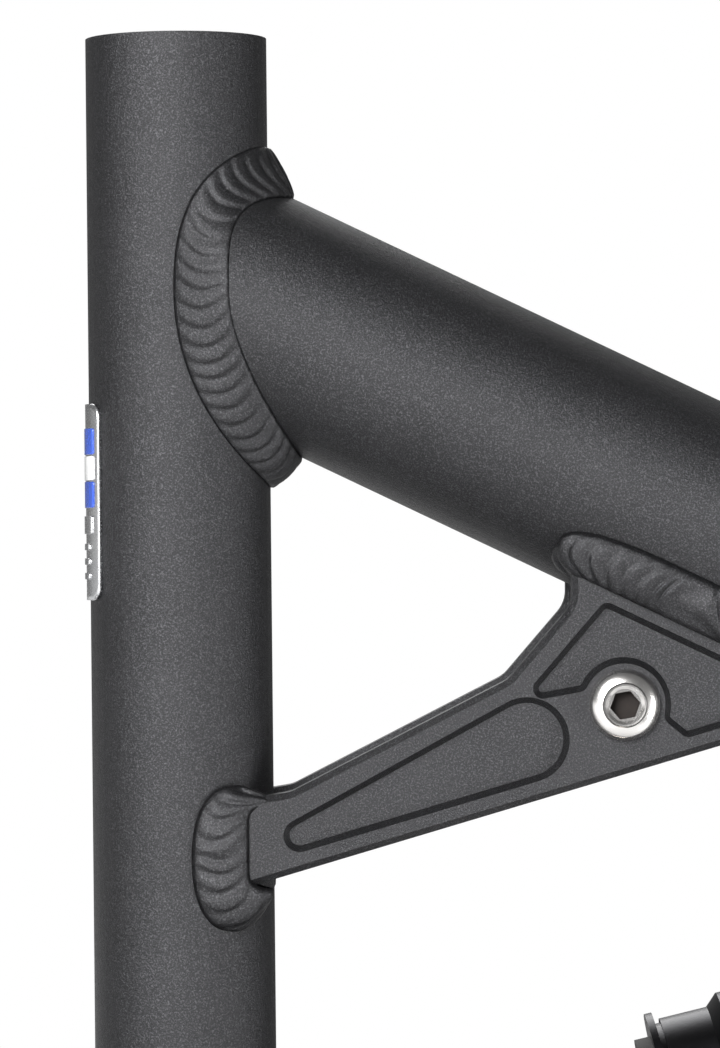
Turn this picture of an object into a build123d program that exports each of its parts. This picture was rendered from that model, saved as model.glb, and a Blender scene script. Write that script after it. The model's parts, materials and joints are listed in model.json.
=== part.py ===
from build123d import *
import math
import os

# Full-suspension bicycle frame. Millimetres, +X forward, +Z up, drive side at -Y.
# The origin is the centre of the bottom bracket shell.

# ---- main tubes ----
SEAT_ANGLE = 70.0
SEAT_TUBE_LENGTH = 440.0
SEAT_TUBE_R = 17.45
SEATPOST_R = 15.8
SEATPOST_DEPTH = 200.0
SEAT_TUBE_LOWER_WALL = 2.2
HEAD_ANGLE = 67.0
HEAD_TUBE_LENGTH = 115.0
HEAD_TUBE_R = 25.0
HEADSET_R = 22.0
HEAD_TUBE_TOP = (405.0, 585.0)
TOP_TUBE_R = 22.2
TOP_TUBE_WALL = 1.8
TOP_TUBE_DROP = 44.7
TOP_TUBE_TO_SEAT_ANGLE = 64.1
TOP_TUBE_CORNER = 230.0
TOP_TUBE_BEND_R = 240.0
TOP_TUBE_HEAD_DROP = 40.0
TOP_TUBE_EAR_TRIM = 9.0
DOWN_TUBE_R = 25.4
DOWN_TUBE_WALL = 1.9
DOWN_TUBE_HEAD_RISE = 34.0
BOSS_AT = 190.0
BOSS_SPACING = 64.0
BOSS_R = 4.5
BOSS_THREAD_R = 2.1
BOSS_DEPTH = 6.0
BOSS_LENGTH = 8.0
BB_R = 20.5
BB_BORE_R = 16.9
BB_WIDTH = 73.0

# ---- gusset plates behind the seat tube joint, (forward of seat tube, up from its top) ----
GUSSET_GAP = 22.0
GUSSET_THICKNESS = 6.0
GUSSET_BOLT_AT = (84.3, -128.4)
GUSSET_LOWER_AT = (20.7, -160.0)
GUSSET_LOWER_ANGLE = 16.1
GUSSET_UPPER_AT = (26.6, -141.5)
GUSSET_UPPER_ANGLE = 26.8
GUSSET_STEEP_AT = (72.3, -112.0)
GUSSET_STEEP_ANGLE = 49.0
GUSSET_FLARE_ANGLE = 9.0
GUSSET_FLARE_AT = 21.0
GUSSET_ROOT = 2.0
GUSSET_TOP_LEFT = 74.6
GUSSET_TIP = 120.0
GUSSET_CHAMFER = 1.2
GUSSET_CORNER_R = 6.0
POCKET_DEPTH = 2.0
POCKET_TAPER = 30.0
POCKET_LOBE_ANGLE = 20.0
POCKET_BIG = (65.8, -134.9)
POCKET_BIG_R = 8.1
POCKET_SMALL = (22.6, -152.6)
POCKET_SMALL_R = 3.1
BOLT_BOSS_R = 7.8
UPPER_POCKET_MARGIN = 3.4
UPPER_POCKET_REAR_MARGIN = 5.6
UPPER_POCKET_FOOT = 11.7
UPPER_POCKET_CORNER_R = 1.9
GUSSET_SPACER_R = 7.0
WELD_LEG = 4.5
GUSSET_WELD_LEG = 3.5
HEAD_WELD_LEG = 2.8
WELD_INSET = 1.0
FOOT_WELD_REACH = 29.7

# ---- badge on the back of the seat tube ----
BADGE_WIDTH = 19.6
BADGE_HEIGHT = 37.6
BADGE_THICKNESS = 0.9
BADGE_CORNER_R = 3.0
BADGE_DROP = 89.0

# ---- swingarm ----
PIVOT_AT = (35.0, 100.0)
PIVOT_SHELL_R = 17.0
PIVOT_SHELL_WIDTH = 48.0
BEARING_R = 14.0
BEARING_BALL_OUTER_R = 11.6
BEARING_BALL_INNER_R = 9.8
BEARING_WIDTH = 7.0
AXLE_R = 7.5
AXLE_TUNNEL_R = 9.0
PIVOT_SIDE_GAP = 1.0
ARM_THICKNESS = 8.0
ARM_PIVOT_BOSS_R = 20.0
ARM_SHOCK_BOSS_R = 13.0
ARM_STAY_BOSS_R = 13.0
ARM_CHAINSTAY_BOSS = (-78.0, 89.0)
ARM_SEATSTAY_BOSS = (-92.0, 186.0)
WINDOW_FROM_PIVOT = (-32.0, 14.0)
WINDOW_FROM_EYE = (0.0, -28.0)
WINDOW_FROM_SEATSTAY = (16.0, -14.0)
WINDOW_FROM_CHAINSTAY = (16.0, 25.0)
WINDOW_CORNER_R = 8.0
CHAINSTAY_R = 11.0
SEATSTAY_R = 9.0
STAY_WALL = 1.8
STAY_BEND_R = 60.0
STAY_BEND_Y = 50.0
CHAINSTAY_FRONT = (-66.0, 92.0)
CHAINSTAY_BEND = (-125.0, 76.0)
CHAINSTAY_FROM_AXLE = (35.0, 8.0)
SEATSTAY_FRONT = (-80.0, 193.0)
SEATSTAY_BEND = (-140.0, 161.0)
SEATSTAY_FROM_AXLE = (15.0, 46.0)
REAR_AXLE_AT = (-440.0, -10.0)
REAR_AXLE_R = 6.0
DROPOUT_SPACING = 135.0
DROPOUT_THICKNESS = 8.0
DROPOUT_BOSS_R = 17.0
DROPOUT_CHAINSTAY_LOBE = (42.0, 9.0, 9.0)
DROPOUT_SEATSTAY_LOBE = (20.0, 46.0, 8.0)
DROPOUT_LOWER_LOBE = (-8.0, -14.0, 14.0)
BRIDGE_R = 8.0
CHAINSTAY_BRIDGE_AT = (-104.0, 84.0)
FRONT_BRIDGE_AT = (-3.0, 138.0)
HANGER_THICKNESS = 7.0
HANGER_FRONT_LOBE = (9.0, -15.0, 6.0)
HANGER_REAR_LOBE = (-13.0, -14.0, 6.0)
HANGER_TIP_LOBE = (-8.0, -30.0, 8.5)
HANGER_THREAD_R = 4.5
BRAKE_SPACING = 51.0
BRAKE_THREAD_R = 2.6
BRAKE_TAB_THICKNESS = 6.0
BRAKE_ANGLE = 30.67
BRAKE_FROM_AXLE = (18.0, 72.0)
BRAKE_LOBE_R = 7.0
BRAKE_FOOT_LOBE = (50.0, 66.0, 6.0)
AXLE_HEAD_R = 12.0
AXLE_HEAD_H = 4.0

# ---- shock ----
SHOCK_REAR_EYE = (-42.5, 217.5)
SHOCK_FRONT_EYE = (124.5, 327.5)
EYE_R = 10.0
FRONT_EYE_R = 12.0
EYE_WIDTH = 20.0
REAR_EYE_BORE_R = 7.0
FRONT_EYE_BORE_R = 7.5
BUSH_BORE_R = 6.4
RUNNING_GAP = 0.05
SHOCK_BOLT_R = 4.0
SHOCK_BOLT_HEAD_R = 6.6
SHOCK_BOLT_HEAD_H = 3.6
BOLT_DOME_R = 2.16
BOLT_KEY_CORNER_R = 2.9
BOLT_KEY_DEPTH = 2.5
REAR_SPACER_R = 8.0
REAR_EYE_SIDE_PLAY = 0.5
LUG_GAP = 24.0
LUG_THICKNESS = 6.0
LUG_EYE_R = 12.0
LUG_FOOT_R = 8.0
LUG_FEET_ALONG = (237.0, 288.0)
DAMPER_R = 12.0
DAMPER_WALL = 1.5
DAMPER_START = 11.0
REAR_NECK_STEP = 0.2
PISTON_LENGTH = 8.0
PISTON_HEIGHT = 4.0
DAMPER_END = 105.0
CAN_START = 60.0
CAN_END = 150.0
CAN_LIP_STEP = 0.7
CAN_BARREL_STEP = 2.2
CAN_WALL = 3.6
CAN_SEAL_GROOVE_DEPTH = 0.8
CAN_LIP_LENGTH = 1.4
CAN_GROOVE_END = 2.6
CAN_BARREL_LENGTH = 12.0
CAN_CONE_LENGTH = 2.4
CAN_END_WALL = 5.0
CAN_SHAFT_GAP = 0.6
HEAD_BLOCK_STEP = 0.6
HEAD_BLOCK_END = 166.0
KNOB_R = 6.5
KNOB_HEIGHT = 7.0
KNOB_STEM_R = 2.0
KNOB_STEM_START = 2.0
KNOB_GAP = 0.3
KNOB_GRIPS = 10
KNOB_GRIP_R = 1.1
VALVE_CAP_R = 4.5
VALVE_CAP_HEIGHT = 8.0
WIPER_WALL = 2.5
WIPER_LENGTH = 3.0
TRAVEL_RING_WALL = 1.3
TRAVEL_RING_WIDTH = 1.6
PISTON_GAP = 0.1

# Two points nearer than this are the same one.
TOUCHING = 0.01

os.makedirs("parts", exist_ok=True)

SIDE = Plane(origin=(0, 0, 0), x_dir=(1, 0, 0), z_dir=(0, -1, 0))


def side_point(pair, y=0.0):
    return Vector(pair[0], y, pair[1])


seat_up = Vector(-math.cos(math.radians(SEAT_ANGLE)), 0, math.sin(math.radians(SEAT_ANGLE)))
seat_forward = Vector(seat_up.Z, 0, -seat_up.X)
seat_top = seat_up * SEAT_TUBE_LENGTH
SEAT_SIDE = Plane(origin=seat_top, x_dir=seat_forward, z_dir=(0, -1, 0))
head_down = Vector(math.cos(math.radians(HEAD_ANGLE)), 0, -math.sin(math.radians(HEAD_ANGLE)))
head_top = side_point(HEAD_TUBE_TOP)
head_bottom = head_top + head_down * HEAD_TUBE_LENGTH
top_joint = seat_top - seat_up * TOP_TUBE_DROP
top_angle = math.radians(90 - TOP_TUBE_TO_SEAT_ANGLE)
top_direction = seat_forward * math.cos(top_angle) - seat_up * math.sin(top_angle)
top_corner = top_joint + top_direction * TOP_TUBE_CORNER
top_head_joint = head_top + head_down * TOP_TUBE_HEAD_DROP
down_head_joint = head_bottom - head_down * DOWN_TUBE_HEAD_RISE
down_direction = down_head_joint.normalized()
pivot = side_point(PIVOT_AT)
rear_eye = side_point(SHOCK_REAR_EYE)
front_eye = side_point(SHOCK_FRONT_EYE)
shock_direction = (front_eye - rear_eye).normalized()
shock_length = (front_eye - rear_eye).length
shock_down = Vector(shock_direction.Z, 0, -shock_direction.X)
arm_inner = PIVOT_SHELL_WIDTH / 2 + PIVOT_SIDE_GAP
arm_outer = arm_inner + ARM_THICKNESS
gusset_inner = GUSSET_GAP / 2
gusset_outer = gusset_inner + GUSSET_THICKNESS
lug_inner = LUG_GAP / 2
lug_outer = lug_inner + LUG_THICKNESS
dropout_inner = DROPOUT_SPACING / 2
dropout_outer = dropout_inner + DROPOUT_THICKNESS
stay_end_y = dropout_inner + DROPOUT_THICKNESS / 2
stay_start_y = arm_inner + ARM_THICKNESS / 2
can_bore = DAMPER_R + PISTON_HEIGHT
can_r = can_bore + CAN_WALL
head_block_r = can_r - HEAD_BLOCK_STEP
top_tube_slope = TOP_TUBE_TO_SEAT_ANGLE - 90
top_tube_axis = (0, -TOP_TUBE_DROP)


def step(point, offset):
    """A side-view point moved by an (x, z) offset."""
    return (point[0] + offset[0], point[1] + offset[1])


def lobe(point, offset):
    """A side-view circle (x, z, radius) whose centre is offset from a point."""
    return (*step(point, offset), offset[2])


def rod(start, end, radius):
    """A solid cylinder from one point to another."""
    axis = end - start
    return extrude(Plane(origin=start, z_dir=axis) * Circle(radius), amount=axis.length)


def cross_rod(centre, radius, y_low, y_high):
    """A solid cylinder across the frame, along Y."""
    return rod(Vector(centre.X, y_low, centre.Z), Vector(centre.X, y_high, centre.Z), radius)


def slab(profile, near, far, plane=SIDE):
    """A flat profile given thickness between two distances towards the drive side."""
    return extrude(plane.offset(near) * profile, amount=far - near)


def both_sides(shape):
    return shape + mirror(shape, about=Plane.XZ)


def hull(*circles):
    """The outline around several (x, z, radius) circles."""
    edges = [edge for x, z, r in circles for edge in (Pos(x, z) * Circle(r)).edges()]
    return make_hull(edges)


def line_height(at, angle, x):
    """The height at x of the line through a point at an angle."""
    return at[1] + (x - at[0]) * math.tan(math.radians(angle))


def crossing(at_a, angle_a, at_b, angle_b):
    """Where two lines in one plane cross."""
    ta, tb = math.tan(math.radians(angle_a)), math.tan(math.radians(angle_b))
    x = (at_b[1] - at_a[1] + ta * at_a[0] - tb * at_b[0]) / (ta - tb)
    return (x, line_height(at_a, angle_a, x))


def save(name, shape):
    shape.label = name
    export_step(shape, f"parts/{name}.step")


# ---- outer forms, filled, that mitres and welds are cut from ----
top_axis = FilletPolyline(top_joint, top_corner, top_head_joint, radius=TOP_TUBE_BEND_R)


def top_tube_form(radius):
    start = Plane(origin=top_joint, z_dir=top_direction)
    return sweep(start * Circle(radius), path=top_axis)


def trim_ears(shape):
    """Takes off the tube's end where it would pass the sides of the seat tube."""
    reach = 2 * TOP_TUBE_R
    centre = Pos(TOP_TUBE_EAR_TRIM - reach, -TOP_TUBE_DROP, 0)
    return shape - SEAT_SIDE * centre * Box(2 * reach, 4 * reach, 2 * reach)


seat_form = rod(Vector(0, 0, 0), seat_top, SEAT_TUBE_R)
head_form = rod(head_top, head_bottom, HEAD_TUBE_R)
down_form = rod(Vector(0, 0, 0), down_head_joint, DOWN_TUBE_R)
bb_form = cross_rod(Vector(0, 0, 0), BB_R, -BB_WIDTH / 2, BB_WIDTH / 2)
pivot_form = cross_rod(pivot, PIVOT_SHELL_R, -PIVOT_SHELL_WIDTH / 2, PIVOT_SHELL_WIDTH / 2)
top_form = trim_ears(top_tube_form(TOP_TUBE_R)) - seat_form - head_form - down_form


def seat_tube():
    post_bottom = seat_top - seat_up * SEATPOST_DEPTH
    lower_bore = rod(Vector(0, 0, 0), post_bottom, SEAT_TUBE_R - SEAT_TUBE_LOWER_WALL)
    return seat_form - rod(post_bottom, seat_top, SEATPOST_R) - lower_bore - bb_form - down_form


def head_tube():
    return head_form - rod(head_top, head_bottom, HEADSET_R)


def top_tube():
    return top_form - top_tube_form(TOP_TUBE_R - TOP_TUBE_WALL)


def down_tube():
    bore = rod(Vector(0, 0, 0), down_head_joint, DOWN_TUBE_R - DOWN_TUBE_WALL)
    return down_form - bore - bb_form - head_form - bottle_bosses(BOSS_R)


def bottom_bracket_shell():
    return bb_form - cross_rod(Vector(0, 0, 0), BB_BORE_R, -BB_WIDTH / 2, BB_WIDTH / 2)


def pivot_shell():
    half = PIVOT_SHELL_WIDTH / 2
    seats = cross_rod(pivot, BEARING_R, half - BEARING_WIDTH, half)
    return pivot_form - cross_rod(pivot, AXLE_TUNNEL_R, -half, half) - both_sides(seats) - down_form


def gusset_outline():
    lower_left = (GUSSET_ROOT, line_height(GUSSET_LOWER_AT, GUSSET_LOWER_ANGLE, GUSSET_ROOT))
    lower_tip = (GUSSET_TIP, line_height(GUSSET_LOWER_AT, GUSSET_LOWER_ANGLE, GUSSET_TIP))
    upper_tip = (GUSSET_TIP, line_height(top_tube_axis, top_tube_slope, GUSSET_TIP))
    upper_left = (GUSSET_TOP_LEFT, line_height(top_tube_axis, top_tube_slope, GUSSET_TOP_LEFT))
    steep_top = (GUSSET_TOP_LEFT, line_height(GUSSET_STEEP_AT, GUSSET_STEEP_ANGLE, GUSSET_TOP_LEFT))
    knee = crossing(GUSSET_STEEP_AT, GUSSET_STEEP_ANGLE, GUSSET_UPPER_AT, GUSSET_UPPER_ANGLE)
    flare = (GUSSET_FLARE_AT, line_height(GUSSET_UPPER_AT, GUSSET_UPPER_ANGLE, GUSSET_FLARE_AT))
    root = (GUSSET_ROOT, line_height(flare, GUSSET_FLARE_ANGLE, GUSSET_ROOT))
    corners = (lower_left, lower_tip, upper_tip, upper_left, steep_top, knee, flare, root)
    face = make_face(Polyline(*corners, close=True))
    bends = [v for v in face.vertices() for p in (knee, flare, steep_top) if math.dist((v.X, v.Y), p) < TOUCHING]
    return fillet(bends, radius=GUSSET_CORNER_R)


def upper_pocket():
    """A three-sided pocket that steps round the boss of the bolt."""
    tube_reach = TOP_TUBE_R / math.cos(math.radians(top_tube_slope))
    top_at = step(top_tube_axis, (0, -tube_reach))
    steep_at = step(GUSSET_STEEP_AT, (UPPER_POCKET_REAR_MARGIN, 0))
    low_at = step(GUSSET_LOWER_AT, (0, UPPER_POCKET_MARGIN))
    x, z = GUSSET_BOLT_AT
    web_at = (x, z + BOLT_BOSS_R)
    corner = crossing(steep_at, GUSSET_STEEP_ANGLE, top_at, top_tube_slope)
    tip = crossing(top_at, top_tube_slope, low_at, GUSSET_LOWER_ANGLE)
    foot = (x + UPPER_POCKET_FOOT, line_height(low_at, GUSSET_LOWER_ANGLE, x + UPPER_POCKET_FOOT))
    knuckle = crossing(steep_at, GUSSET_STEEP_ANGLE, web_at, POCKET_LOBE_ANGLE)
    inside_boss = ((x + BOLT_BOSS_R / 2, z), (x, z + BOLT_BOSS_R / 2))
    face = make_face(Polyline(corner, tip, foot, *inside_boss, knuckle, close=True))
    face = face - Pos(x, z) * Circle(BOLT_BOSS_R)
    return fillet(face.vertices(), radius=UPPER_POCKET_CORNER_R)


def gusset_plate():
    """The drive-side plate, milled with two pockets and welded to both tubes."""
    plate = slab(gusset_outline(), gusset_inner, gusset_outer, SEAT_SIDE)
    plate = chamfer(plate.faces().sort_by(Axis.Y)[0].edges(), length=GUSSET_CHAMFER)
    outer_plane = SEAT_SIDE.offset(gusset_outer)
    lower = hull((*POCKET_BIG, POCKET_BIG_R), (*POCKET_SMALL, POCKET_SMALL_R))
    for outline in (lower, upper_pocket()):
        plate -= extrude(outer_plane * outline, amount=-POCKET_DEPTH, taper=POCKET_TAPER)
    bolt = seat_point(GUSSET_BOLT_AT)
    return plate - seat_form - top_form - cross_rod(bolt, SHOCK_BOLT_R, -gusset_outer, -gusset_inner)


def seat_point(pair):
    return seat_top + seat_forward * pair[0] + seat_up * pair[1]


def bolt(centre, half_grip, head_r=SHOCK_BOLT_HEAD_R):
    """A domed bolt whose head stands on the drive side, with a hexagon socket."""
    shank = cross_rod(centre, SHOCK_BOLT_R, -half_grip, half_grip + SHOCK_BOLT_HEAD_H)
    head = cross_rod(centre, head_r, -half_grip - SHOCK_BOLT_HEAD_H, -half_grip)
    head = fillet(head.edges().sort_by(Axis.Y)[0], radius=BOLT_DOME_R)
    crown = Pos(centre.X, -half_grip - SHOCK_BOLT_HEAD_H, centre.Z)
    socket = crown * Rot(-90, 0, 0) * RegularPolygon(BOLT_KEY_CORNER_R, 6)
    return head + shank - extrude(socket, amount=BOLT_KEY_DEPTH)


def nut(centre, half_grip):
    ring = cross_rod(centre, SHOCK_BOLT_HEAD_R, half_grip, half_grip + SHOCK_BOLT_HEAD_H)
    return ring - cross_rod(centre, SHOCK_BOLT_R, half_grip, half_grip + SHOCK_BOLT_HEAD_H)


def sleeve(centre, outer, inner, y_low, y_high):
    return cross_rod(centre, outer, y_low, y_high) - cross_rod(centre, inner, y_low, y_high)


def badge():
    """A thin curved plate on the back of the seat tube."""
    low = seat_point((0, -BADGE_DROP - BADGE_HEIGHT))
    high = seat_point((0, -BADGE_DROP + BADGE_HEIGHT))
    shell = rod(low, high, SEAT_TUBE_R + BADGE_THICKNESS)
    back = Plane(origin=seat_point((0, -BADGE_DROP)), x_dir=(0, 1, 0), z_dir=-seat_forward)
    outline = RectangleRounded(BADGE_WIDTH, BADGE_HEIGHT, BADGE_CORNER_R)
    window = extrude(back * outline, amount=2 * SEAT_TUBE_R)
    return (shell & window) - seat_form


def seat_joint_weld(plates):
    """The fillet where the top tube meets the seat tube."""
    seat_swollen = rod(Vector(0, 0, 0), seat_top, SEAT_TUBE_R + WELD_LEG)
    swollen = rod(top_joint, top_corner, TOP_TUBE_R + WELD_LEG) & seat_swollen
    return largest(swollen - seat_form - top_form - plates)


def gusset_foot_weld(plate):
    """The fillet round a gusset plate's lower end, on the seat tube."""
    low = line_height(GUSSET_LOWER_AT, GUSSET_LOWER_ANGLE, GUSSET_ROOT) - GUSSET_WELD_LEG
    high = GUSSET_UPPER_AT[1] - GUSSET_WELD_LEG
    profile = Pos(SEAT_TUBE_R / 2, (low + high) / 2) * Rectangle(FOOT_WELD_REACH, high - low)
    block = slab(profile, gusset_inner, gusset_outer + GUSSET_WELD_LEG - WELD_INSET, SEAT_SIDE)
    weld = block & rod(Vector(0, 0, 0), seat_top, SEAT_TUBE_R + GUSSET_WELD_LEG)
    return largest(weld - seat_form - plate)


def gusset_crown_weld(plate):
    """The fillet along a gusset plate's upper edge, under the top tube."""
    middle = (GUSSET_TOP_LEFT + GUSSET_TIP) / 2
    axis_height = line_height(top_tube_axis, top_tube_slope, middle)
    length = GUSSET_TIP - GUSSET_TOP_LEFT + 2 * WELD_INSET
    crown = Pos(middle, axis_height) * Rectangle(length, 4 * TOP_TUBE_R)
    block = slab(crown, gusset_inner, gusset_outer + GUSSET_WELD_LEG - WELD_INSET, SEAT_SIDE)
    below = Plane(origin=seat_point((middle, axis_height - TOP_TUBE_R)), x_dir=top_direction, z_dir=(0, -1, 0))
    block = block & extrude(below * Rectangle(6 * TOP_TUBE_R, 2 * TOP_TUBE_R), amount=2 * TOP_TUBE_R)
    weld = block & rod(top_joint, top_corner, TOP_TUBE_R + GUSSET_WELD_LEG)
    return largest(weld - top_form - plate)


def head_weld():
    """The fillets where the top and down tubes meet the head tube."""
    down_swollen = rod(Vector(0, 0, 0), down_head_joint, DOWN_TUBE_R + HEAD_WELD_LEG)
    swollen = top_tube_form(TOP_TUBE_R + HEAD_WELD_LEG) + down_swollen
    weld = rod(head_top, head_bottom, HEAD_TUBE_R + HEAD_WELD_LEG) & swollen
    return largest(weld - head_form - top_form - down_form)


def bottom_bracket_weld():
    """The fillets where the down and seat tubes meet the bottom bracket shell."""
    half = BB_WIDTH / 2 - WELD_INSET
    down_swollen = rod(down_direction * BB_R / 2, down_head_joint, DOWN_TUBE_R + GUSSET_WELD_LEG)
    swollen = down_swollen + rod(seat_up * BB_R / 2, seat_top, SEAT_TUBE_R + GUSSET_WELD_LEG)
    weld = cross_rod(Vector(0, 0, 0), BB_R + GUSSET_WELD_LEG, -half, half) & swollen
    return largest(weld - bb_form - down_form - seat_form)


def pivot_weld():
    """The fillet where the pivot shell sits on the down tube."""
    half = PIVOT_SHELL_WIDTH / 2 - WELD_INSET
    swollen = rod(Vector(0, 0, 0), down_head_joint, DOWN_TUBE_R + GUSSET_WELD_LEG)
    weld = cross_rod(pivot, PIVOT_SHELL_R + GUSSET_WELD_LEG, -half, half) & swollen
    return largest(weld - pivot_form - down_form)


def welds():
    """Fillet welds, each the overlap of two swollen forms less the pieces it joins."""
    plate = gusset_plate()
    save("weld_top_tube_to_seat_tube", seat_joint_weld(both_sides(plate)))
    save("weld_gussets_to_seat_tube", both_sides(gusset_foot_weld(plate)))
    save("weld_gussets_to_top_tube", both_sides(gusset_crown_weld(plate)))
    save("weld_head_tube", head_weld())
    save("weld_bottom_bracket", bottom_bracket_weld())
    save("weld_pivot_shell", pivot_weld())


def largest(shape):
    """Keeps the biggest solid, so that no stray sliver is left by a cut."""
    return shape.solids().sort_by(SortBy.VOLUME)[-1]


def shock_lugs():
    """Two plates that hang the shock's front eye from the top tube's bend."""
    feet = [top_axis.position_at(along, position_mode=PositionMode.LENGTH) for along in LUG_FEET_ALONG]
    profile = hull((*SHOCK_FRONT_EYE, LUG_EYE_R), *((foot.X, foot.Z, LUG_FOOT_R) for foot in feet))
    plate = slab(profile, lug_inner, lug_outer)
    return both_sides(largest(plate - cross_rod(front_eye, SHOCK_BOLT_R, -lug_outer, -lug_inner) - top_form))


def boss_rod(distance, radius):
    """A rod through the down tube's upper wall, on the axis of a bottle boss."""
    up = Vector(-down_direction.Z, 0, down_direction.X)
    foot = down_direction * distance + up * (DOWN_TUBE_R - BOSS_DEPTH)
    return rod(foot, foot + up * BOSS_LENGTH, radius)


def bottle_bosses(radius):
    return boss_rod(BOSS_AT, radius) + boss_rod(BOSS_AT + BOSS_SPACING, radius)


# ---- swingarm ----
def stay(points, radius, wall):
    path = FilletPolyline(*points, radius=STAY_BEND_R)
    start = Plane(origin=points[0], z_dir=points[1] - points[0])
    outer = sweep(start * Circle(radius), path=path)
    inner = sweep(start * Circle(radius - wall), path=path)
    return outer, outer - inner


def chainstay_points():
    end = step(REAR_AXLE_AT, CHAINSTAY_FROM_AXLE)
    return [side_point(CHAINSTAY_FRONT, -stay_start_y), side_point(CHAINSTAY_BEND, -STAY_BEND_Y),
            side_point(end, -stay_end_y)]


def seatstay_points():
    end = step(REAR_AXLE_AT, SEATSTAY_FROM_AXLE)
    return [side_point(SEATSTAY_FRONT, -stay_start_y), side_point(SEATSTAY_BEND, -STAY_BEND_Y),
            side_point(end, -stay_end_y)]


def side_arm(stay_forms):
    """The plate that joins the pivot, the shock and both stays on the drive side."""
    outline = hull((*PIVOT_AT, ARM_PIVOT_BOSS_R), (*SHOCK_REAR_EYE, ARM_SHOCK_BOSS_R),
                   (*ARM_CHAINSTAY_BOSS, ARM_STAY_BOSS_R), (*ARM_SEATSTAY_BOSS, ARM_STAY_BOSS_R))
    corners = (step(PIVOT_AT, WINDOW_FROM_PIVOT), step(SHOCK_REAR_EYE, WINDOW_FROM_EYE),
               step(ARM_SEATSTAY_BOSS, WINDOW_FROM_SEATSTAY), step(ARM_CHAINSTAY_BOSS, WINDOW_FROM_CHAINSTAY))
    window = make_face(Polyline(*corners, close=True))
    window = fillet(window.vertices(), radius=WINDOW_CORNER_R)
    arm = slab(outline - window, arm_inner, arm_outer)
    arm -= cross_rod(pivot, AXLE_R, -arm_outer, -arm_inner)
    arm -= cross_rod(rear_eye, SHOCK_BOLT_R, -arm_outer, -arm_inner)
    for form in stay_forms:
        arm -= form
    return largest(arm)


def dropout(stay_forms):
    offsets = (DROPOUT_CHAINSTAY_LOBE, DROPOUT_SEATSTAY_LOBE, DROPOUT_LOWER_LOBE)
    outline = hull((*REAR_AXLE_AT, DROPOUT_BOSS_R), *(lobe(REAR_AXLE_AT, offset) for offset in offsets))
    plate = slab(outline, dropout_inner, dropout_outer)
    plate -= cross_rod(side_point(REAR_AXLE_AT), REAR_AXLE_R, -dropout_outer, -dropout_inner)
    for form in stay_forms:
        plate -= form
    return largest(plate)


def chainstay_bridge(chain_form):
    """A cross tube mitred to the chainstays, as long as the gap between their middle lines."""
    share = (CHAINSTAY_BRIDGE_AT[0] - CHAINSTAY_FRONT[0]) / (CHAINSTAY_BEND[0] - CHAINSTAY_FRONT[0])
    reach = stay_start_y + share * (STAY_BEND_Y - stay_start_y)
    return largest(cross_rod(side_point(CHAINSTAY_BRIDGE_AT), BRIDGE_R, -reach, reach) - both_sides(chain_form))


def hanger():
    offsets = (HANGER_FRONT_LOBE, HANGER_REAR_LOBE, HANGER_TIP_LOBE)
    outline = hull(*(lobe(REAR_AXLE_AT, offset) for offset in offsets))
    plate = slab(outline, dropout_outer, dropout_outer + HANGER_THICKNESS)
    hole = side_point(step(REAR_AXLE_AT, HANGER_TIP_LOBE))
    return plate - cross_rod(hole, HANGER_THREAD_R, -dropout_outer - HANGER_THICKNESS, -dropout_outer)


def brake_tab(seatstay_form):
    slope = math.radians(BRAKE_ANGLE)
    first = step(REAR_AXLE_AT, BRAKE_FROM_AXLE)
    second = step(first, (BRAKE_SPACING * math.cos(slope), BRAKE_SPACING * math.sin(slope)))
    profile = hull((*first, BRAKE_LOBE_R), (*second, BRAKE_LOBE_R), lobe(REAR_AXLE_AT, BRAKE_FOOT_LOBE))
    plate = mirror(slab(profile, dropout_inner - BRAKE_TAB_THICKNESS, dropout_inner), about=Plane.XZ)
    for centre in (first, second):
        plate -= cross_rod(side_point(centre), BRAKE_THREAD_R, 0, dropout_outer)
    return largest(plate - mirror(seatstay_form, about=Plane.XZ))


def along(distance):
    """A point on the shock's axis, from its rear eye."""
    return rear_eye + shock_direction * distance


def shock_ring(outer, inner, start, end):
    return rod(along(start), along(end), outer) - rod(along(start), along(end), inner)


def air_can():
    """The air can: a lipped barrel with a seal groove, a cone and the plain main wall."""
    lip_r, barrel_r = can_r - CAN_LIP_STEP, can_r - CAN_BARREL_STEP
    groove_r, shaft_r = barrel_r - CAN_SEAL_GROOVE_DEPTH, DAMPER_R + CAN_SHAFT_GAP
    lip_end, groove_end = CAN_START + CAN_LIP_LENGTH, CAN_START + CAN_GROOVE_END
    barrel_end, floor = CAN_START + CAN_BARREL_LENGTH, CAN_START + CAN_END_WALL
    cone_end = barrel_end + CAN_CONE_LENGTH
    outside = ((lip_r, CAN_START), (lip_r, lip_end), (groove_r, lip_end), (groove_r, groove_end),
               (barrel_r, groove_end), (barrel_r, barrel_end), (can_r, cone_end), (can_r, CAN_END))
    inside = ((can_bore, CAN_END), (can_bore, floor), (shaft_r, floor), (shaft_r, CAN_START))
    plane = Plane(origin=rear_eye, x_dir=-shock_down, z_dir=(0, 1, 0))
    face = plane * make_face(Polyline(*outside, *inside, close=True))
    return revolve(face, axis=Axis(rear_eye, shock_direction))


def shock_head():
    body = rod(along(CAN_END), along(HEAD_BLOCK_END), head_block_r)
    neck_plane = Plane(origin=along(HEAD_BLOCK_END), z_dir=shock_direction)
    neck_end = Plane(origin=along(shock_length - EYE_R), z_dir=shock_direction)
    neck = loft([neck_plane * Circle(head_block_r), neck_end * Circle(EYE_WIDTH / 2)])
    eye = cross_rod(front_eye, FRONT_EYE_R, -EYE_WIDTH / 2, EYE_WIDTH / 2)
    solid = body + neck + eye - cross_rod(front_eye, FRONT_EYE_BORE_R, -EYE_WIDTH, EYE_WIDTH)
    seat = along((CAN_END + HEAD_BLOCK_END) / 2)
    return solid - rod(seat, seat + shock_down * 2 * head_block_r, KNOB_STEM_R + RUNNING_GAP)


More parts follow.
